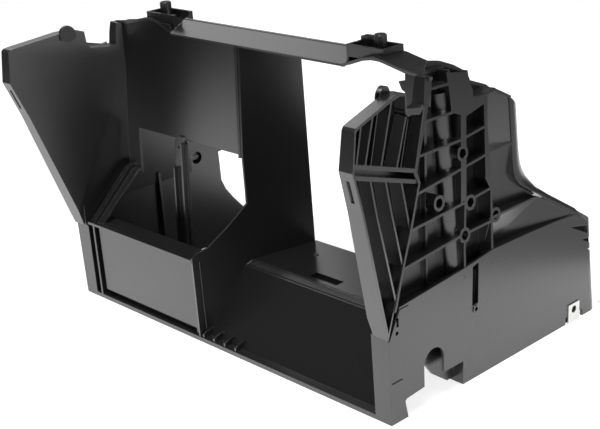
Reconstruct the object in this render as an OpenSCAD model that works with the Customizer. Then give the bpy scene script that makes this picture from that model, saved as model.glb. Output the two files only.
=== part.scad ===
// Rear cover of a ride-on lawn mower: one black injection moulding with a grass
// tunnel, a battery bay and two ribbed ears, and the sheet-metal clip nut on its fender.
// X runs across the mower, Y away from the viewer, Z up. All sizes are in millimetres.

/* [Body] */
// Width across the outer faces of the two front posts
foot_w = 500; // [470:1:560]
// Thickness of the moulded walls
wall = 3; // [2:0.1:4]
// Thickness of the stiffening ribs
rib = 2.6; // [1.6:0.1:3.2]
// Depth of the flanks, from the rib edges to the inner face
flank_d = 19; // [17:0.5:22]
// Height of the ledge that the flank ribs stand on
ledge_z = 114; // [110:1:118]

/* [Posts and rail] */
// Width of each front post
post_w = 22; // [18:1:28]
// Depth of each front post
post_d = 23; // [18:1:28]
// Height of the rail between the posts
rail_h = 5; // [4:0.5:8]
// Depth of the rail
rail_d = 11; // [8:0.5:16]
// Number of gussets at the foot of the ramp
gusset_n = 4; // [2:1:6]
// Spacing of the gussets
gusset_pitch = 17.5; // [10:0.5:22]

/* [Ears] */
// How far the ear tip stands out in front of the posts
ear_reach = 57; // [50:1:64]
// Height of the ears above the posts
ear_h = 222; // [219:1:230]
// Depth of the ear at its foot
ear_d = 22; // [20:0.5:24]
// Depth of the ear at its tip
ear_tip_d = 14; // [12:0.5:18]
// Radius of the half-round lug on the ear
lug_r = 9; // [6:0.5:11]
// Thickness of the half-round lug
lug_t = 5; // [3:0.5:7]
// Width of the slot in the front band of the ear
ear_slot_w = 4; // [2:0.5:6]

/* [Tunnel] */
// Place of the front edge of the tunnel wall across the cover
tunnel_x = -33; // [-45:1:-20]
// Depth of the tunnel
tunnel_d = 151; // [140:1:170]
// Height of the shelf in the tunnel
shelf_z = 75; // [70:1:80]
// Place of the front edge of the shelf
shelf_y = 68; // [60:1:74]
// Diameter of the drain hole in the shelf
drain_d = 7; // [4:0.5:10]
// Length of the pocket in the shelf
pocket_l = 40; // [30:1:46]
// Width of the pocket in the shelf
pocket_w = 11; // [8:1:16]

/* [Bay] */
// Distance of the bay wall from the middle
bay_x = 219; // [214:1:224]
// Height of the sill in front of the bay
sill_z = 93; // [88:1:98]
// Depth of the sill
sill_d = 27; // [20:1:32]
// Width of the band round the bay mouth
band_w = 13; // [8:1:18]
// Width of the upright bar in the bay mouth
bar_w = 20; // [14:1:26]
// Diameter of the cable hole in the bay's side wall
cable_d = 15; // [8:0.5:18]
// Depth of the groove round the front panel
groove_d = 5; // [3:0.5:8]

/* [Portal] */
// Place of the lower edge of the portal panel
portal_y = 71; // [68:1:75]
// Height of the lower edge of the portal panel
portal_z = 192; // [185:1:200]
// Height of the front edge of the header
header_z = 307; // [303:1:309]
// Depth of the sloped header
header_d = 21; // [16:1:26]
// Rise of the sloped header
header_rise = 12; // [8:1:14]
// Distance of the opening's outer edge from the middle
mouth_x = 211; // [206:1:216]

/* [Mount boxes] */
// Distance of each mount box from the middle
box_x = 133; // [125:1:136]
// Width of each mount box
box_w = 48; // [44:1:54]
// Depth of each mount box
box_d = 27; // [24:1:34]
// Height of the rim of the mount boxes
box_top_z = 327; // [324:1:330]
// Diameter of the screw bosses
boss_d = 12.5; // [10:0.5:15]
// Diameter of the screw holes in the bosses
boss_hole_d = 5; // [3:0.1:7]
// Depth of the screw holes
boss_hole_h = 17; // [10:1:20]
// Height of the boss above the box rim
boss_rise = 10; // [6:0.5:14]
// Number of flutes round each boss
flute_n = 12; // [6:1:16]

/* [Fender] */
// Length of the fender behind the posts
fender_l = 328; // [320:1:340]
// Radius of the fender's rolled edge
roll_r = 13; // [8:0.5:16]
// Width of the axle notch
axle_w = 28; // [22:1:32]
// Height of the axle notch
axle_h = 56; // [50:1:64]
// Outer diameter of the ring bosses between the ribs
ring_d = 15; // [11:0.5:18]
// Hole in the ring bosses
ring_hole_d = 9; // [5:0.5:10]

/* [Clip nut] */
// Width of the clip nut
nut_w = 19; // [14:0.5:20]
// Length of each leaf of the clip nut
nut_l = 21; // [16:0.5:24]
// Sheet thickness of the clip nut
nut_t = 1; // [0.6:0.1:1.4]
// Diameter of the hole in the clip nut
nut_hole_d = 8; // [4:0.1:9]

/* [Hidden] */
$fn = 24;
far = 600;
half_w = foot_w / 2;
lap = 1;
arc_n = 6;

// The ear stands in a plane that flares outwards towards the front
ear_foot = [half_w + 2, -2, 88];
ear_yaw = 15;
ear_lean = 2.64;
ear_taper = atan((ear_d - ear_tip_d) / ear_h);
ear_tip_v = 177;
ear_corner = [5 - ear_reach, ear_h - 9];
ear_round = 7;
ear_top = [8, ear_h];
ear_end = [36, ear_h - 2];
notch_a = [37, 205];
notch_b = [41, 201];
notch_c = [60, 199];
notch_d = [71, 199.5];
notch_curb = [[36, 206.5], [62, 200.5], [67.5, 202], [67.5, 199], [65, 196], [61.5, 194], [36, 200.5]];
fold_low = [43, 91];
fold_mid = [59, 131];
fold_high = [53, 143];
ear_front = [[0, 0], [-42, 136], [-ear_reach, ear_tip_v], ear_corner - [1.2, ear_round], ear_corner - [0.5, 2],
    ear_corner + [2, 0.5], ear_corner + [ear_round, 1.5], ear_top, [25, ear_h + 1], ear_end,
    notch_a, notch_b, notch_c, notch_d];
ear_outline = concat(ear_front, [fold_high, fold_mid, fold_low]);
fold_reach = [14, 0];
ear_uprights = [[[-42, 213], [-50, 184]], [[-22, 217], [-36, 178]], [[10, 221], [-9, 169]], [[35, 198], [18, 158]]];
ear_twins = [[[-14, 218], [-27, 175]], [[39, 196], [25, 156]]];
ear_groove = [[[-58, 184], [52, 145]], [[-56, 173.5], [60, 132]]];
ear_fan = [[[-28, 163], [-18, 128], [15, 32]], [[-2, 154], [9, 118], [28, 62]], [[26, 144], [42, 93]]];
ear_skin = concat(ear_front, [[75, 202], [78, 210], [102, 210], [102, 112], fold_low + fold_reach, [16, 0]]);

// The flank above the ledge leans in a little
flank_foot = [half_w + 1, 0, ledge_z];
flank_yaw = 0.86;
flank_lean = -2.86;
flank_fold = [[10, -1], [12, 3], [25, 35], [39, 66], [55, 106], [52, 117], [73, 171]];
arm_corner = [80.5, 197];
arm_edge = [[73, 198], [70.5, 187], [69, 175.5], [61, 146], [65, 146], [68.6, 157], [75.3, 174], [80.8, 186],
    [81.4, 193.5], [79.5, 196.5], [76, 198]];
rear_u = 189;
ridge_v = 165;
corner_r = 26;
roof_r = 9;
roof_in = 24;
// Rear corner and roof edge: a point of the flat side, the outer point beside it, and the roll's depth
corner_line = [
    [[188, 162], [214, 162], 26], [[188, 104], [214, 104], 26], [[188, 92], [214.5, 92], 26],
    [[188.3, 81], [216, 82], 26], [[190, 73], [219, 73.5], 25], [[194, 66.5], [223.5, 65.5], 24],
    [[201, 60.5], [229, 57.5], 21], [[213, 53], [233, 50.5], 16], [[227, 44.3], [237.5, 46], 10],
    [[240, 36], [243.5, 40.5], 6], [[290.8, 3.5], [294, 8.2], 6]];
corner_flat = 0.5;
roof_flat = 3;
corner_depth = 30;
shingle_u = 152;
flank_rows = [
    [[82, 186], [106, 185]],
    [[70, 159], [106, 158]],
    [[60, 130], [112, 130], [151, 134]],
    [[53, 97], [112, 103], [149, 107]],
    [[39, 66], [113, 70], [151, 73]],
    [[25, 34], [104, 40], [150, 41]]];
spine = [[124, 160], [119, 110], [115, 72], [109, 25], [107, -1]];
rear_spine = [[155, 162], [147, 85], [153, 73], [148, -1]];
ring_places = [[79, 80], [122, 68], [111, 39], [157, 45]];
hole_ring = [116, 117];
column_u = 106;
column_r = 11;
column_h = 176;
step_high = 108;
step_low = 44;
step_depth = 13;
valley_depth = 12;
valley_u = 148;
valley_a = [valley_u, step_low, 0];
valley_b = [valley_u, 9, -valley_depth];
valley_c = [223, step_low, 0];

// The skirt below the ledge leans out a little
skirt_foot = [half_w - 2.5, 0, 0];
skirt_yaw = 0.86;
skirt_lean = 1.72;
skirt_top = [[0, 86], [15, 115], [107, 122], [147, 127], [200, 126], [248, 124], [284, 121]];
axle_u = 61;
slot_u = 118;
spine_foot_u = 104;
tail_top = [[282, 129], [320, 104]];
tail_end = [[fender_l - 12, 104], [fender_l, 0]];
tail_u = 230;
low_curve = [[212, 118], [212, 80], [218, 66], [228, 52], [240, 38], [250, 28], [262, 0]];
nut_u = 283;
louvre_tips = [[272, 110], [294, 89], [305, 75], [312, 63]];
louvre_ends = [[305, 102], [316, 86], [319, 73], [322, 61]];
louvre_h = 9;
nut_notch_h = 8;
nut_hole_v = 14;
notch_low = 86;
notch_high = 92;
arm_in = 10.5;

// The tunnel wall runs slantwise, and the ramp and shelf end on it
tunnel_yaw = -11.31;
tunnel_at = tunnel_x - portal_y * tan(tunnel_yaw);
bead_x = 8;
ramp_z = rail_h;

// Raised field of the bay's front panel
bar_lean = -3.5;
field_x = 8 - bay_x;
field_w = bay_x + tunnel_x - 14;

// Depth of the overall box, for the origin under its middle
foremost_y = ear_foot[1] - ear_reach * cos(ear_yaw) + ear_tip_v * sin(ear_lean) * sin(ear_yaw);
back_y = fender_l * cos(skirt_yaw) - roll_r * sin(skirt_yaw);
mid_y = (foremost_y + back_y) / 2;

// Extrusions of a flat drawing: across the mower, and facing the viewer
module across(x0, x1) {
    translate([x0, 0, 0]) rotate([90, 0, 90]) linear_extrude(x1 - x0) children();
}
module facing(y0, y1) {
    translate([0, y1, 0]) rotate([90, 0, 0]) linear_extrude(y1 - y0) children();
}

// A straight strip between two points, a strip along a line of points, and a rim inside an outline
module bar(a, b, t) {
    d = b - a;
    translate(a) rotate(atan2(d[1], d[0])) translate([-t / 2, -t / 2]) square([norm(d) + t, t]);
}
module run(points, t) {
    for (i = [0 : len(points) - 2]) bar(points[i], points[i + 1], t);
}
module rim(points, t) {
    intersection() {
        polygon(points);
        union() {
            run(points, 2 * t);
            bar(points[len(points) - 1], points[0], 2 * t);
        }
    }
}

module on_ear() {
    translate(ear_foot) rotate([0, ear_lean, ear_yaw]) children();
}
module on_flank() {
    translate(flank_foot) rotate([0, flank_lean, flank_yaw]) children();
}
module on_skirt() {
    translate(skirt_foot) rotate([0, skirt_lean, skirt_yaw]) children();
}
module on_portal() {
    translate([0, portal_y, portal_z]) rotate([-3.6, 0, 0]) children();
}
module on_tunnel_wall() {
    translate([tunnel_x, 0, 0]) rotate([0, 0, tunnel_yaw]) children();
}

// Everything inboard of the ear's inner face, and of the flank's inner face
module inside_ear() {
    on_ear() translate([-ear_d, 0, 0]) rotate([0, ear_taper, 0])
        translate([-60, -200, -100]) cube([60, 500, 500]);
}
module inside_flank() {
    on_flank() translate([-flank_d - 60, -200, -200]) cube([60, 500, 500]);
}

// Points along an arc, and the inner and outer line of a wall that turns inwards over a rolled edge
function arc(centre, r, a0, a1) = [for (i = [0 : arc_n]) centre + r * [cos(a0 + (a1 - a0) * i / arc_n),
    sin(a0 + (a1 - a0) * i / arc_n)]];

// A flat sheet in the plane of three points, each [place along the wall, height, depth], cut to an outline
module sheet(a, b, c, t, outline) {
    n = cross(b - a, c - a);
    su = -n[0] / n[2];
    sv = -n[1] / n[2];
    turn = -atan(su);
    intersection() {
        across(-40, 2) polygon(outline);
        translate([a[2], a[0], a[1]]) rotate([0, atan(sv * cos(turn)), turn])
            translate([-t, -far, -far]) cube([t, 2 * far, 2 * far]);
    }
}

// A point of the ear's plane, as seen along the mower's width
function seen(p) = [ear_foot[1] + p[0] * cos(ear_yaw) + p[1] * sin(ear_lean) * sin(ear_yaw),
    ear_foot[2] + p[1] * cos(ear_lean)];
function all_seen(points) = [for (p = points) seen(p)];

module ear_ribs() {
    for (line = ear_uprights) run(all_seen(line), rib);
    for (line = ear_twins) run(all_seen(line), rib / 2);
    for (line = ear_groove) run(all_seen(line), rib * 1.5);
    for (line = ear_fan) run(all_seen(line), rib);
}

// The half-round lug stands inboard of the ribs, with a slot in its front
module ear_lug() {
    translate([-17, 20, ear_h - 2]) difference() {
        union() {
            rotate([0, 90, 0]) cylinder(r = lug_r, h = lug_t);
            translate([0, -lug_r, -6]) cube([lug_t, 2 * lug_r, 6]);
        }
        translate([1.4, -lug_r - 1, -2]) cube([lug_t - 2.8, 6, 7]);
    }
}

module ear() {
    difference() {
        union() {
            intersection() {
                across(half_w - 60, half_w + 40) intersection() {
                    polygon(all_seen(ear_outline));
                    union() {
                        ear_ribs();
                        rim(all_seen(ear_outline), rib);
                    }
                }
                on_ear() translate([-50, -200, -100]) cube([50, 500, 500]);
            }
            // Curb along the outer edge of the notch
            intersection() {
                across(half_w - 60, half_w + 40) polygon(all_seen(notch_curb));
                on_ear() translate([-rib, -200, -100]) cube([rib, 500, 500]);
            }
            intersection() {
                across(half_w - 60, half_w + 40) polygon(all_seen(ear_skin));
                on_ear() translate([-ear_d, 0, 0]) rotate([0, ear_taper, 0])
                    translate([0, -100, -10]) cube([wall, 250, 300]);
            }
        }
        inside_ear();
        inside_flank();
        on_ear() translate([-ear_tip_d / 2 - 3, -80, 146]) cube([ear_slot_w, 40, 22]);
    }
    on_ear() ear_lug();
}

// Outline of the inner wall above the ledge
flank_wall = concat([for (i = [1 : 5]) flank_fold[i] - fold_reach], [[57, 166], [72, 167], [74, 184], arm_corner,
    [94, 207], [112, 203], [130, 195.5], [148, 185], [152, 176], [174, 167], [190, 155], [199, 145], [199, 36], [158, 20], [158, -3], [-5, -3]]);

module flank_ribs() {
    for (row = flank_rows) run(row, rib);
    run(spine, rib);
    translate([-5, 0]) run([spine[0], spine[1], spine[2]], rib);
    run(rear_spine, rib);
    run(flank_fold, rib);
    polygon(arm_edge);
    bar([105, 196], [106, 158], rib);
    for (p = ring_places) translate(p) circle(d = ring_d);
    translate(hole_ring) circle(d = ring_d);
}

module flank_rings() {
    for (p = ring_places) translate(p) circle(d = ring_hole_d);
    translate(hole_ring) circle(d = ring_hole_d);
}

// Flush panels of the flank: the block beside the arm, the spine strip and the rear panel
module flank_panels() {
    polygon([[102, 195.5], [123, 191.5], [127, 191], [130, 188], [130, 183], [136, 173], [136, 166], [154, 163], [154, 156], [124, 150],
        [106, 158]]);
    polygon([[119, 160], [125, 160], [120, 108], [116, 72], [111, 72], [114, 112]]);
    polygon([[151, ridge_v], [shingle_u + 1.5, ridge_v], [shingle_u + 1.5, step_low], [151, step_low], [152, 73], [146, 85]]);
}

module flank_grid() {
    on_flank() difference() {
        across(wall - flank_d - lap, 0) flank_ribs();
        across(4 - flank_d, 1) flank_rings();
    }
}

module flank_inner_wall() {
    on_flank() across(-flank_d, wall - flank_d) difference() {
        polygon(flank_wall);
        translate(hole_ring) circle(d = ring_hole_d - 2);
    }
}

module flush_panels() {
    on_flank() across(-rib, 0) difference() {
        flank_panels();
        flank_rings();
    }
}

// The rear panel steps in towards its lower front corner, shingle fashion
module shingles() {
    on_flank() {
        sheet([188.5, step_high, -1], [188.5, ridge_v, -1], [shingle_u, step_high, -step_depth], wall,
            [[shingle_u, step_high], [190, step_high], [190, 152.5], [167, ridge_v], [shingle_u, 163]]);
        sheet([188.5, step_high, -1], [210, 52, -8], [shingle_u, step_low, -step_depth - 1], wall,
            concat([[shingle_u, step_low], [shingle_u, step_high], [189.5, step_high]],
                [for (i = [2 : 8]) corner_line[i][0] + [1, 0.6]], [[227, step_low]]));
        // Wall between the lower panel and the rolled corner
        across(-step_depth, -wall / 2) run([for (i = [1 : 8]) corner_line[i][0] + [1.2, 0.8]], rib);
        across(-step_depth - wall, 0) run([[153, step_high], [187.5, step_high]], rib);
        across(-step_depth - wall, 0) run([[154, step_low], [rear_u + 30, step_low]], rib);
        // Hollow above the fender's edge, closed by sheets that slope in to the valley
        sheet(valley_a, valley_b, valley_c, rib, [[valley_u, step_low], [valley_u, 8], [223, step_low]]);
        sheet(valley_c, valley_b, [286, 6, 0], rib, [[223, step_low], [valley_u, 10.5], [valley_u, 8], [286, 6]]);
        across(-valley_depth - 1, 0) run([[150, 12], [201, 11], [249, 9], [284, 7]], rib);
    }
}

// Half-round column on the wall between the ribs
module column() {
    on_flank() translate([-flank_d + wall - lap, column_u, 0]) linear_extrude(column_h)
        polygon(concat(arc([0, 0], column_r, -90, 0), arc([0, 0], column_r, 0, 90)));
}

// Top of the flank: an open pocket beside the arm, and a ridge towards the rear
module flank_top() {
    on_flank() {
        across(lap - flank_d, 0) run([[129.5, 190], [130.5, 180]], rib);
        across(-flank_d, 0) run([[137, 164], [152, 163], [167, 165], [rear_u, 153]], rib);
    }
}

// Section of the rear corner: a flat strip, a quarter of a roll and a straight return, all one wall thick
function corner_arc(s, t, a) = let (way = (s[1] - s[0]) / norm(s[1] - s[0]), wide = norm(s[1] - s[0]) - t)
    [-t - (s[2] - t) * (1 - cos(a)), s[0][0] + way[0] * wide * sin(a), s[0][1] + way[1] * wide * sin(a)];
function corner_start(s, t) = let (flat = s[2] < 8 ? roof_flat : corner_flat,
    p = s[0] - flat * (s[1] - s[0]) / norm(s[1] - s[0])) [-t, p[0], p[1]];
function corner_end(s, t) = let (p = corner_arc(s, t, 90)) [-corner_depth - 1, p[1], p[2]];
function corner_ring(s) = concat([corner_start(s, 0)], [for (a = [0 : 15 : 90]) corner_arc(s, 0, a)],
    [corner_end(s, 0), corner_end(s, wall)], [for (a = [90 : -15 : 0]) corner_arc(s, wall, a)],
    [corner_start(s, wall)]);

// The right flank turns inwards at the rear, and the fender's roof slopes down from it
module rear_corner() {
    n = len(corner_ring(corner_line[0]));
    last = len(corner_line) - 1;
    on_flank() intersection() {
        polyhedron([for (s = corner_line) each corner_ring(s)], concat(
            [for (i = [0 : last - 1]) for (j = [0 : n - 1]) each [
                [i * n + j, i * n + (j + 1) % n, (i + 1) * n + j],
                [i * n + (j + 1) % n, (i + 1) * n + (j + 1) % n, (i + 1) * n + j]]],
            [[for (j = [0 : n - 1]) n - 1 - j], [for (j = [0 : n - 1]) last * n + j]]));
        across(-80, 1) polygon([[170, 164], [rear_u, 153], [rear_u + corner_r, 133], [287, 110], [287, -4], [170, -4]]);
    }
}

// On the bay side the flank ends in a plain edge
module plain_end() {
    on_flank() across(-flank_d, 0) run([[rear_u, 153], [199, 143], [199, 60], [206, 44]], rib);
    on_flank() across(-rib, 0) polygon([[rear_u - 1, 153], [199, 144], [199, 60], [206, 44], [rear_u - 1, 44]]);
}

module flank() {
    difference() {
        union() {
            flank_inner_wall();
            flank_grid();
        }
        inside_ear();
    }
    flush_panels();
    shingles();
    column();
    flank_top();
}

// Outline below the ledge, with the step behind the post, the axle notch and the fender
module skirt_outline(end) {
    difference() {
        polygon(concat(skirt_top, end, [[spine_foot_u, 0], [spine_foot_u, 25], [75, 25], [47, 21],
            [20, 19], [post_d, 0], [0, 0]]));
        translate([axle_u - axle_w / 2, -1]) square([axle_w, axle_h - axle_w / 2 + 1]);
        translate([axle_u, axle_h - axle_w / 2]) circle(d = axle_w);
        polygon([[slot_u, 119], [slot_u + 9, 121], [slot_u + 8, 79], [slot_u - 1, 79]]);
        translate([slot_u + 4, 74]) circle(d = 4.5);
        polygon([[10, 106], [13, 106], [13, 97], [10, 97]]);
        translate([10.5, 91]) circle(d = 4);
    }
}

// Everything below a sloped edge with a rolled corner
module below_edge(ends, r, off) {
    d = ends[1] - ends[0];
    translate([0, ends[0][0], ends[0][1]]) rotate([90 + atan2(d[1], d[0]), 0, 0])
        translate([0, 0, -far / 2]) linear_extrude(far)
            polygon(concat([[-off, -far]], arc([-r, -r], r - off, 0, 90), [[-60, -off], [-60, -far]]));
}

// Solid of the fender's tail: a rolled roof and a rolled rear end
module tail_solid(off, u0) {
    intersection() {
        below_edge(tail_top, roof_r, off);
        below_edge(tail_end, roll_r, off);
        translate([-roll_r - roof_in - off, u0, -off]) cube([roll_r + roof_in + off + 1, fender_l - u0 + 1, 260]);
    }
}

module louvres() {
    for (i = [0 : 3]) across(-roll_r - wall, 2)
        polygon([louvre_tips[i], louvre_ends[i], louvre_ends[i] - [-0.5, louvre_h - i], louvre_tips[i] - [-4, 1.5]]);
}

module skirt(end) {
    on_skirt() {
        across(-wall, 0) skirt_outline(end);
        // Raised strip along the front of the skirt, up to the crease behind the post
        across(-wall, 0.8) difference() {
            polygon([[0, 0], [post_d, 0], [19, 19], [17, 40], [20, 87], [27, 113], [15, 113], [0, 86]]);
            polygon([[10, 106], [13, 106], [13, 97], [10, 97]]);
            translate([10.5, 91]) circle(d = 4);
            polygon([[2, 51], [18, 46], [18, 42], [2, 42]]);
        }
        // Rib that runs down to the foot in front of the fender
        across(-22, 0) bar([spine_foot_u, rib / 2], [107, 121], rib);
        // Small ring boss at the foot of the slot
        translate([-wall - 2, slot_u + 4, 74]) rotate([0, 90, 0]) difference() {
            cylinder(d = 8, h = wall + 3);
            translate([0, 0, -1]) cylinder(d = 4.5, h = wall + 5);
        }
    }
}

module tail() {
    on_skirt() difference() {
        tail_solid(0, tail_u);
        tail_solid(wall, tail_u - 1);
        // The side stops at the ledge line in front of the fender's corner
        across(-60, 2) polygon([[tail_u - 1, 200], [tail_u - 1, 124.6], [248, 124], [284, 121], [284, 200]]);
        across(-wall - lap, 1) translate([270, -1]) square([30, nut_notch_h + 1]);
        across(-wall - lap, 1) translate([nut_u, nut_hole_v]) circle(d = nut_hole_d + 2);
        louvres();
    }
}

// The posts are open channels, and the lower inner wall runs back from them
module post() {
    facing(0, wall) polygon([[half_w - post_w, 0], [skirt_foot[0] - 1, 0], [half_w - 1, ear_foot[2]], [half_w - post_w, ear_foot[2]]]);
    translate([half_w - post_w, 0, 0]) cube([wall, post_d, ear_foot[2]]);
    across(half_w - flank_d + 1, half_w - flank_d + 1 + wall)
        polygon([[0, 0], [22, 0], [40, 12], [54, 32], [62, 34], [72, 20], [92, rail_h], [tunnel_d, rail_h],
            [tunnel_d, ledge_z + lap], [0, ledge_z + lap]]);
    on_skirt() across(-16.2, 0.5 - wall) {
        translate([12, ledge_z - 3]) square([slot_u - 14, wall]);
        translate([slot_u + 11, ledge_z - 3]) square([141 - slot_u, wall]);
    }
}

module rail() {
    difference() {
        translate([wall + 1 - half_w, 0, 0]) cube([foot_w - 2 * wall - 2, rail_d, rail_h]);
        translate([2 * wall - half_w, wall, -1]) cube([foot_w - 4 * wall, rail_d, rail_h - wall + 2]);
    }
    for (i = [0 : gusset_n - 1]) translate([tunnel_x + 3 + gusset_pitch * i, 1, rail_h - lap])
        across(0, rib) polygon([[0, 0], [0, 5], [3, 7], [14, 9], [14, 0]]);
}

// Side profile of the tunnel wall: the sill, the slope of the bay mouth and the portal
wall_profile = [[0, rail_h - 2], [0, sill_z + 2], [6, sill_z + 7], [19, sill_z + 9], [42, sill_z + 24],
    [portal_y, 139], [portal_y, portal_z], [portal_y + 7, header_z], [portal_y + 20, header_z + 6],
    [tunnel_d, header_z - 25], [tunnel_d, rail_h - 2]];

module tunnel_wall() {
    on_tunnel_wall() across(-wall, 0) polygon(wall_profile);
}

// Everything on the bay side of the tunnel wall
module bay_side() {
    on_tunnel_wall() translate([-far, -50, -50]) cube([far - wall / 2, 400, 500]);
}

module ramp() {
    difference() {
        union() {
            across(-60, half_w - flank_d + 2)
                run([[rail_d, ramp_z - 1], [shelf_y - 5, shelf_z - 5], [shelf_y + 2, shelf_z - wall / 2],
                    [tunnel_d - 2, shelf_z - wall / 2]], wall);
            translate([60, 74, shelf_z - 8]) cube([pocket_l + 6, pocket_w + 6, 7]);
        }
        bay_side();
        translate([27, 120, 0]) cylinder(d = drain_d, h = 100);
        translate([63, 77, shelf_z - 6]) cube([pocket_l, pocket_w, 20]);
    }
}

module bay() {
    // Front panel: a raised field in a groove, hollow from behind
    difference() {
        union() {
            translate([-half_w + post_w - lap, wall + groove_d, rail_h - wall])
                cube([half_w - post_w + tunnel_x + 3, wall, sill_z - rail_h]);
            translate([field_x, wall, rail_h + 7]) cube([field_w, groove_d + lap, sill_z - rail_h - 7]);
        }
        translate([field_x + wall, 2 * wall, rail_h + 7 + wall]) cube([field_w - 2 * wall, 20, sill_z - rail_h - 13]);
    }
    // Rounded corner between the panel and the tunnel wall
    translate([tunnel_x - 9, wall + 9, rail_h - wall + 0.4]) intersection() {
        difference() {
            cylinder(r = 9, h = sill_z - rail_h + 2);
            translate([0, 0, -1]) cylinder(r = 9 - wall, h = sill_z);
        }
        translate([0, -9, -1]) cube([9, 9, sill_z]);
    }
    // Sill, with a lip turned down at the back
    difference() {
        union() {
            translate([-half_w + post_w, 0, sill_z - wall]) cube([half_w - post_w + tunnel_x + 12, sill_d, wall]);
            translate([-half_w + post_w, sill_d - wall, sill_z - 10]) cube([half_w - post_w + tunnel_x + 12, wall, 9]);
        }
        on_tunnel_wall() translate([-wall / 2, -50, -50]) cube([100, 400, 500]);
    }
    // Bay wall and its band round the mouth
    band = [[0, rail_h - 2], [0, sill_z], [61, 149], [portal_y + 1, 149], [portal_y + 1, 142], [8, sill_z - wall],
        [8, rail_h - 2]];
    across(-bay_x, -bay_x + wall) polygon(band);
    across(-bay_x - 12, -bay_x + band_w) run([[5, sill_z - 3], [63, 141], [portal_y, 143]], wall);
    // Floor of the bay
    difference() {
        translate([-half_w + flank_d - 2, wall + groove_d, rail_h - wall])
            cube([half_w - flank_d + 2 + tunnel_x + 32, tunnel_d - 10, wall]);
        on_tunnel_wall() translate([-wall / 2, -50, -50]) cube([100, 400, 500]);
    }
}

// Upright bar in the bay mouth: a channel with a rounded head, leaning forward at its foot
module bay_bar() {
    translate([-bay_x + 84, portal_y - 3, portal_z - 6]) rotate([bar_lean, 0, 0]) mirror([0, 0, 1]) difference() {
        union() {
            cube([bar_w, wall, portal_z - 9]);
            translate([bar_w / 2, 0, 0]) rotate([-90, 0, 0]) cylinder(d = bar_w, h = wall);
            translate([bar_w - 4, -5, -4]) cube([rib, 6, portal_z - 5]);
            translate([1, -5, 26]) cube([rib, 6, portal_z - 35]);
        }
        translate([bar_w / 2 - 3, -1, 3]) rotate([-90, 0, 0]) cylinder(d = 3, h = wall + 2);
    }
}

module portal() {
    top = header_z - portal_z;
    on_portal() {
        // Panel over the bay, with a bead near its edge
        facing(0, wall) polygon([[-half_w + 12, -48], [-mouth_x + 5, -54], [-mouth_x + 5, 0], [tunnel_at - 1, 0],
            [tunnel_at - 1, top], [-box_x, top], [-box_x - 4, top + 11], [-box_x - box_w, top + 11], [-half_w + arm_in, top + 1],
            [-half_w + arm_in, notch_high], [-half_w + 16, notch_low]]);
        translate([tunnel_x + bead_x, 0, -3]) cylinder(d = 4, h = top + 3);
        // Strip beside the tunnel mouth, with its barb
        facing(0, wall) polygon([[mouth_x, shelf_z - portal_z - 1], [half_w - 12, shelf_z - portal_z - 1],
            [half_w - 16, notch_low], [half_w - arm_in, notch_high], [half_w - arm_in, top + 1], [mouth_x, top + 4], [mouth_x, top - 3], [mouth_x - 8, top - 5],
            [mouth_x - 4, top - 12], [mouth_x, top - 14]]);
    }
    // Sloped header with a lip turned down behind it
    across(-box_x - lap, box_x + lap) run([[portal_y + 8, header_z + 1], [portal_y + 8 + header_d, header_z + header_rise],
        [portal_y + 8 + header_d, header_z + header_rise - 10]], wall);
}

// Curved roof between the mount box and the flank, with a rim along its front edge
roof_profile = [[box_x, header_z + 1], [box_x + 27, header_z + 10], [box_x + 41, header_z + 12.5],
    [box_x + 51, header_z + 11.5], [box_x + 65, header_z + 8.5], [mouth_x + 1, header_z + 5.5], [half_w - 9, header_z + 2.5]];

module roof(cut_r, front_y, end_y) {
    facing(front_y, front_y + 4) run(roof_profile, wall);
    facing(portal_y + 7, end_y) intersection() {
        run(roof_profile, rib);
        translate([0, header_z - 20]) square([half_w - flank_d - 3, 60]);
    }
    translate([box_x, portal_y + 12, box_top_z - 12]) difference() {
        cube([box_w, box_d, 12]);
        translate([rib, rib, rib]) cube([box_w - 2 * rib, box_d - 2 * rib, 12]);
        translate([-1, box_d / 2, 12]) rotate([0, 90, 0]) cylinder(r = cut_r, h = rib + 2);
    }
    translate([box_x, portal_y + 12, header_z]) cube([rib, box_d, box_top_z - header_z - 10]);
}

module boss() {
    boss_z = box_top_z + boss_rise;
    translate([box_x + 31, portal_y + 26.5, box_top_z - 11]) difference() {
        union() {
            cylinder(d = boss_d, h = boss_z - box_top_z + 11 - 1);
            cylinder(d = boss_d - 2, h = boss_z - box_top_z + 11);
            cylinder(d = boss_d + 4, h = 4);
        }
        translate([0, 0, boss_z - box_top_z + 11 - boss_hole_h]) cylinder(d = boss_hole_d, h = boss_hole_h + 1);
        for (i = [0 : flute_n - 1]) rotate(i * 360 / flute_n)
            translate([boss_d / 2, 0, 5]) cylinder(d = 1.4, h = 30, $fn = 8);
    }
}

// The right box carries a second, shorter peg
module peg() {
    translate([box_x + 8, portal_y + 24, box_top_z - 11]) difference() {
        cube([9, 9, 17]);
        translate([2.5, 2.5, 4]) cube([4, 4, 14]);
    }
}

// The flank on the bay side ends early, over a lip that curves down to the floor
module short_tail() {
    across(half_w - flank_d + 1, half_w - flank_d + 1 + wall) difference() {
        polygon(concat([[tunnel_d - 3, rail_h], [tunnel_d - 3, 162], [200, 162]],
            [for (i = [1 : 5]) low_curve[i] - [11, 0]], [[250, rail_h]]));
        translate([168, 124]) circle(d = cable_d);
    }
    across(half_w - flank_d + 1, half_w - 3) intersection() {
        run([for (i = [1 : 6]) low_curve[i] - [10, 0]], rib);
        translate([100, 0]) square([200, 200]);
    }
}

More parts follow.
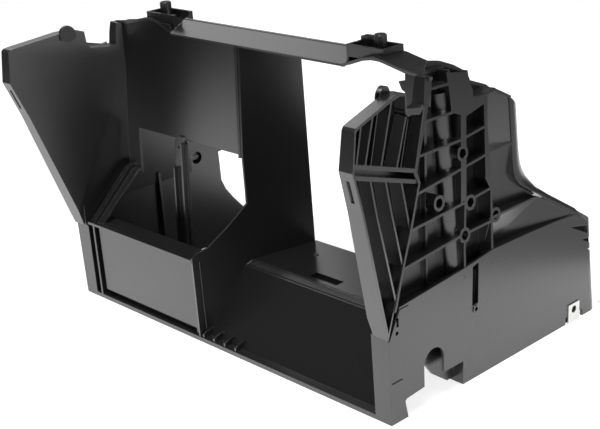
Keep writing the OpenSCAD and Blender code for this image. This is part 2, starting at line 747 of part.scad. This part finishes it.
module rear_cover() {
    color("#232323") translate([0, -mid_y, 0]) {
        union() {
            ear();
            flank();
        }
        union() {
            post();
            skirt([[tail_u, 124.6], [tail_u, 0]]);
            rear_corner();
            tail();
        }
        union() {
            roof(1, portal_y + 5, portal_y + 40);
            boss();
            peg();
        }
        mirror([1, 0, 0]) {
            difference() {
                union() {
                    ear();
                    flank();
                }
                translate([half_w - 40, 88, header_z - 2]) cube([50, 70, 40]);
            }
            union() {
                post();
                skirt(low_curve);
                plain_end();
                short_tail();
            }
            union() {
                roof(9, portal_y + 9, portal_y + 20);
                boss();
            }
        }
        union() {
            rail();
            tunnel_wall();
            ramp();
            bay();
            bay_bar();
            portal();
        }
    }
}

module clip_nut() {
    color("#d9d9d6") translate([0, -mid_y, 0]) on_skirt() translate([0, nut_u - nut_w / 2, 0]) difference() {
        union() {
            translate([0.2, 0, 0]) cube([nut_t, nut_w, nut_l]);
            translate([-wall - 0.2 - nut_t, 0, 0]) cube([nut_t, nut_w, nut_l]);
            translate([-wall - 0.2 - nut_t, 0, 0]) cube([wall + 0.4 + 2 * nut_t, nut_w, nut_t]);
            translate([-wall - 0.2 - nut_t, nut_w / 2, nut_hole_v]) rotate([0, -90, 0]) cylinder(d = nut_hole_d + 4, h = 3);
        }
        translate([-20, nut_w / 2, nut_hole_v]) rotate([0, 90, 0]) cylinder(d = nut_hole_d, h = 40);
    }
}

rear_cover();
clip_nut();
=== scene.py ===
"""Looks of a ride-on mower's rear cover: black moulded plastic with a sheet-metal clip nut.

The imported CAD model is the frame. Lengths are in metres, and the axes are the row's own.
"""

import math

import bmesh
import bpy
from mathutils import Matrix, Vector


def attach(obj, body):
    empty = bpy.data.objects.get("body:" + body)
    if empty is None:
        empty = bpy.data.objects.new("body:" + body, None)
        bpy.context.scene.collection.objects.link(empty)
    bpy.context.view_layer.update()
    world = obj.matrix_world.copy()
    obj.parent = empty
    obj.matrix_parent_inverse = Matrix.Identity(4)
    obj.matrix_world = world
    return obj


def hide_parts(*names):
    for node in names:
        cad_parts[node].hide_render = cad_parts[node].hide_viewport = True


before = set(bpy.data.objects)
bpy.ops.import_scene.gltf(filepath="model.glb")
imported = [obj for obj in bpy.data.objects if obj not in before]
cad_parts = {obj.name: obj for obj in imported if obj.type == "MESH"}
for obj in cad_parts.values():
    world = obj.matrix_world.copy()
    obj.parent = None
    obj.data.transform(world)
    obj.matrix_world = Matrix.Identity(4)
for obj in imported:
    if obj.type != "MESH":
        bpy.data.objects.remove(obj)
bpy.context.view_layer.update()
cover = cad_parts["rear_cover"]
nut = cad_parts["clip_nut"]
MM = 0.001

# Camera, as solved from mirrored point pairs of the cover
CAMERA_AT = Vector((0.9807, -0.86831, 0.5952))
CAMERA_RIGHT = Vector((0.6769, 0.7324, -0.0739))
CAMERA_DOWN = Vector((0.2081, -0.2867, -0.9351))
CAMERA_AHEAD = Vector((-0.7061, 0.6176, -0.3465))
SENSOR = 36.0
LENS = 76.884

# The moulding's mesh: corners that are one, faces that are flat together, and folds that stay sharp
MERGE_WITHIN = 0.004 * MM
FLAT_WITHIN = math.radians(0.3)
SMOOTH_BELOW = math.radians(19)

# The plastic's grain, and the radius at which its edges catch the light
GRAIN_SCALE = 2200.0
GRAIN_DEPTH = 0.02 * MM
EDGE_RADIUS = 0.8 * MM
PLASTIC_GREY = 0.010

# The zinc plating
ZINC_COLOUR = (0.93, 0.93, 0.91, 1.0)

# Studio: a bright table, a dim sheet beyond it that mirrors dark as painted shade for the floor in
# the cover's shadow, a lit cloth to the left and a dim room
DROP = -0.2 * MM
TABLE_GREY = 0.5
TABLE_SEEN = 0.82
TABLE_MIRRORED = 0.62
# The dim sheet: the camera sees it white, but what mirrors it sees dark, painted shade for the
# floor in the cover's shadow
PAINTED_SHADE_GREY = 0.35
PAINTED_SHADE_SEEN = 0.9
PAINTED_SHADE_MIRRORED = 0.05
CLOTH_GLOW = 1.25
ROOM_GREY = 0.06
ABOVE_POWER = 98.0
SIDE_POWER = 16.0
BORDER = [(1.7, 0.62), (0.66, 0.5), (0.6, 0.2), (0.45, 0.1), (0.3, 0.3), (0.24, 0.3)]
TABLE = [(-1.6, -1.0), (1.7, -1.0), *BORDER, (0.22, 0.0), (-1.6, 0.0)]
# Right of and behind the border lies the dim sheet, painted shade for the floor in the cover's
# shadow
PAINTED_SHADE_SHEET = [(1.7, 1.5), (0.24, 1.3), *reversed(BORDER)]
# No floor lies between the table's back edge at y 0 and the rear sheet at y 0.2, so what mirrors
# there sees the dim room: painted shade for the floor under and behind the cover
REAR_SHEET = [(-1.6, 0.2), (0.24, 0.2), (0.24, 1.3), (-1.6, 1.3)]
SIDE_CLOTH = [(-1.8, -0.3, 0.9), (-1.8, 1.7, 0.95), (-1.8, 1.7, 1.9), (-1.8, -0.3, 2.8)]


def make_camera():
    data = bpy.data.cameras.new("camera")
    data.sensor_width = SENSOR
    data.lens = LENS
    data.clip_start = 0.05
    data.clip_end = 50.0
    camera = bpy.data.objects.new("camera", data)
    bpy.context.scene.collection.objects.link(camera)
    turn = Matrix((CAMERA_RIGHT, -CAMERA_DOWN, -CAMERA_AHEAD)).transposed()
    camera.matrix_world = Matrix.Translation(CAMERA_AT) @ turn.to_4x4()
    bpy.context.scene.camera = camera


class Value:
    """A number in a shader tree, with the usual operators, so that node maths reads like maths."""

    def __init__(self, shader, socket):
        self.shader = shader
        self.socket = socket

    def maths(self, operation, *parts):
        return self.shader.node("Math", {"operation": operation}, dict(enumerate(parts)))

    def __add__(self, other):
        return self.maths("ADD", self, other)

    def __radd__(self, other):
        return self.maths("ADD", other, self)

    def __mul__(self, other):
        return self.maths("MULTIPLY", self, other)

    def __rmul__(self, other):
        return self.maths("MULTIPLY", other, self)

    def lowest(self, other):
        return self.maths("MINIMUM", self, other)


class Shader:
    """A shader tree whose nodes are made by type and wired by name."""

    def __init__(self, tree):
        self.tree = tree

    def node(self, kind, settings, inputs, output=0):
        """A node of that type, its settings made first and its inputs set or wired."""
        made = self.tree.nodes.new("ShaderNode" + kind)
        for key, item in settings.items():
            setattr(made, key, item)
        for key, item in inputs.items():
            self.feed(item, made.inputs[key])
        return Value(self, made.outputs[output])

    def feed(self, item, slot):
        if isinstance(item, Value):
            self.tree.links.new(item.socket, slot)
        else:
            slot.default_value = item


class Material(Shader):
    """A principled material, with patterns on the piece's own coordinates."""

    def __init__(self, name):
        self.data = bpy.data.materials.new(name)
        self.data.use_nodes = True
        super().__init__(self.data.node_tree)
        self.principled = self.tree.nodes["Principled BSDF"]
        self.place = self.node("TexCoord", {}, {}, "Object")

    def give(self, name, item):
        """A number, a colour or a pattern for one of the principled shader's sockets."""
        self.feed(item, self.principled.inputs[name])

    def noise(self, scale, detail):
        return self.node("TexNoise", {}, {"Vector": self.place, "Scale": scale, "Detail": detail})


def grey(level):
    return (level, level, level, 1.0)


def black_plastic():
    """Semi-matt moulded plastic with fine grain, faint flow marks and softly rounded edges."""
    m = Material("black_plastic")
    grain = m.noise(GRAIN_SCALE, 3.0)
    flow = m.noise(7.0, 3.0)
    soft_edge = m.node("Bevel", {"samples": 4}, {"Radius": EDGE_RADIUS})
    bumps = {"Height": grain, "Distance": GRAIN_DEPTH, "Strength": 0.4, "Normal": soft_edge}
    m.give("Normal", m.node("Bump", {}, bumps))
    m.give("Roughness", flow * 0.08 + 0.22)
    m.give("Base Color", grey(PLASTIC_GREY))
    m.give("Specular IOR Level", 1.0)
    m.give("Coat Weight", 0.7)
    m.give("Coat Roughness", 0.3)
    return m.data


def zinc():
    """Bright plated sheet metal."""
    m = Material("zinc")
    m.give("Roughness", m.noise(240.0, 3.0) * 0.2 + 0.25)
    m.give("Base Color", ZINC_COLOUR)
    m.give("Metallic", 0.9)
    return m.data


def dress(node, material):
    node.data.materials.clear()
    node.data.materials.append(material)


def smooth_copy(node, name):
    """A merged copy of a CAD node whose curved faces shade smoothly, shown in the node's place."""
    mesh = node.data.copy()
    shape = bmesh.new()
    shape.from_mesh(mesh)
    bmesh.ops.transform(shape, matrix=node.matrix_world, verts=shape.verts)
    bmesh.ops.remove_doubles(shape, verts=shape.verts, dist=MERGE_WITHIN)
    bmesh.ops.dissolve_limit(shape, angle_limit=FLAT_WITHIN, verts=shape.verts, edges=shape.edges)
    for face in shape.faces:
        face.smooth = True
    for edge in shape.edges:
        edge.smooth = edge.calc_face_angle(math.pi) < SMOOTH_BELOW
    mesh.clear_geometry()
    shape.to_mesh(mesh)
    shape.free()
    made = bpy.data.objects.new(name, mesh)
    bpy.context.scene.collection.objects.link(made)
    normals = made.modifiers.new("normals", "WEIGHTED_NORMAL")
    normals.keep_sharp = True
    normals.weight = 100
    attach(made, "root")
    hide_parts(node.name)
    return made


def studio_white(name, grey_level, seen, mirrored):
    """Matt white that is lit, with a glow for the camera and another for what mirrors it."""
    m = Material(name)
    m.give("Base Color", grey(grey_level))
    m.give("Roughness", 1.0)
    m.give("Specular IOR Level", 0.0)
    camera = m.node("LightPath", {}, {}, "Is Camera Ray")
    glossy = m.node("LightPath", {}, {}, "Is Glossy Ray")
    through = m.node("LightPath", {}, {}, "Is Transmission Ray")
    m.give("Emission Color", camera * seen + (glossy + through).lowest(1.0) * mirrored)
    m.give("Emission Strength", 1.0)
    return m.data


def glowing(name, strength):
    m = Material(name)
    glow = m.node("Emission", {}, {"Color": grey(1.0), "Strength": strength})
    m.feed(glow, m.tree.nodes["Material Output"].inputs["Surface"])
    return m.data


def card(name, corners, material):
    """A flat surface of the studio."""
    mesh = bpy.data.meshes.new(name)
    shape = bmesh.new()
    shape.faces.new([shape.verts.new(corner) for corner in corners])
    shape.to_mesh(mesh)
    shape.free()
    made = bpy.data.objects.new(name, mesh)
    bpy.context.scene.collection.objects.link(made)
    made.data.materials.append(material)


def floor_card(name, outline, material):
    """A flat surface just under the cover's feet."""
    card(name, [(x, y, DROP) for x, y in outline], material)


def area_light(name, at, towards, size, power):
    data = bpy.data.lights.new(name, "AREA")
    data.shape = "RECTANGLE"
    data.size, data.size_y = size
    data.energy = power
    lamp = bpy.data.objects.new(name, data)
    bpy.context.scene.collection.objects.link(lamp)
    lamp.location = at
    lamp.rotation_euler = (Vector(towards) - Vector(at)).to_track_quat("-Z", "Y").to_euler()


def room():
    """A dim room that the camera sees as white."""
    world = bpy.data.worlds.new("studio")
    bpy.context.scene.world = world
    world.use_nodes = True
    shader = Shader(world.node_tree)
    dim = shader.node("Background", {}, {"Color": grey(ROOM_GREY)})
    seen = shader.node("Background", {}, {"Color": grey(1.0)})
    camera = shader.node("LightPath", {}, {}, "Is Camera Ray")
    mixed = shader.node("MixShader", {}, {0: camera, 1: dim, 2: seen})
    shader.feed(mixed, world.node_tree.nodes["World Output"].inputs["Surface"])


def studio():
    room()
    white = studio_white("studio_white", TABLE_GREY, TABLE_SEEN, TABLE_MIRRORED)
    floor_card("table", TABLE, white)
    floor_card("rear_sheet", REAR_SHEET, white)
    # The dim sheet to the right and behind is white to the camera and mirrors dark: painted shade
    # for the floor in the cover's shadow
    dim = studio_white("painted_shade_floor", PAINTED_SHADE_GREY, PAINTED_SHADE_SEEN, PAINTED_SHADE_MIRRORED)
    floor_card("painted_shade_sheet", PAINTED_SHADE_SHEET, dim)
    card("side_card", SIDE_CLOTH, glowing("lamp_cloth", CLOTH_GLOW))
    area_light("above", (0.3, -0.6, 3.0), (0.1, -0.4, 0.0), (1.8, 1.8), ABOVE_POWER)
    area_light("side", (3.0, 0.0, 0.9), (0.2, 0.0, 0.1), (1.6, 0.8), SIDE_POWER)


make_camera()
bpy.context.scene.view_settings.view_transform = "Standard"
studio()
moulding = smooth_copy(cover, "cover_moulding")
dress(moulding, black_plastic())
dress(nut, zinc())
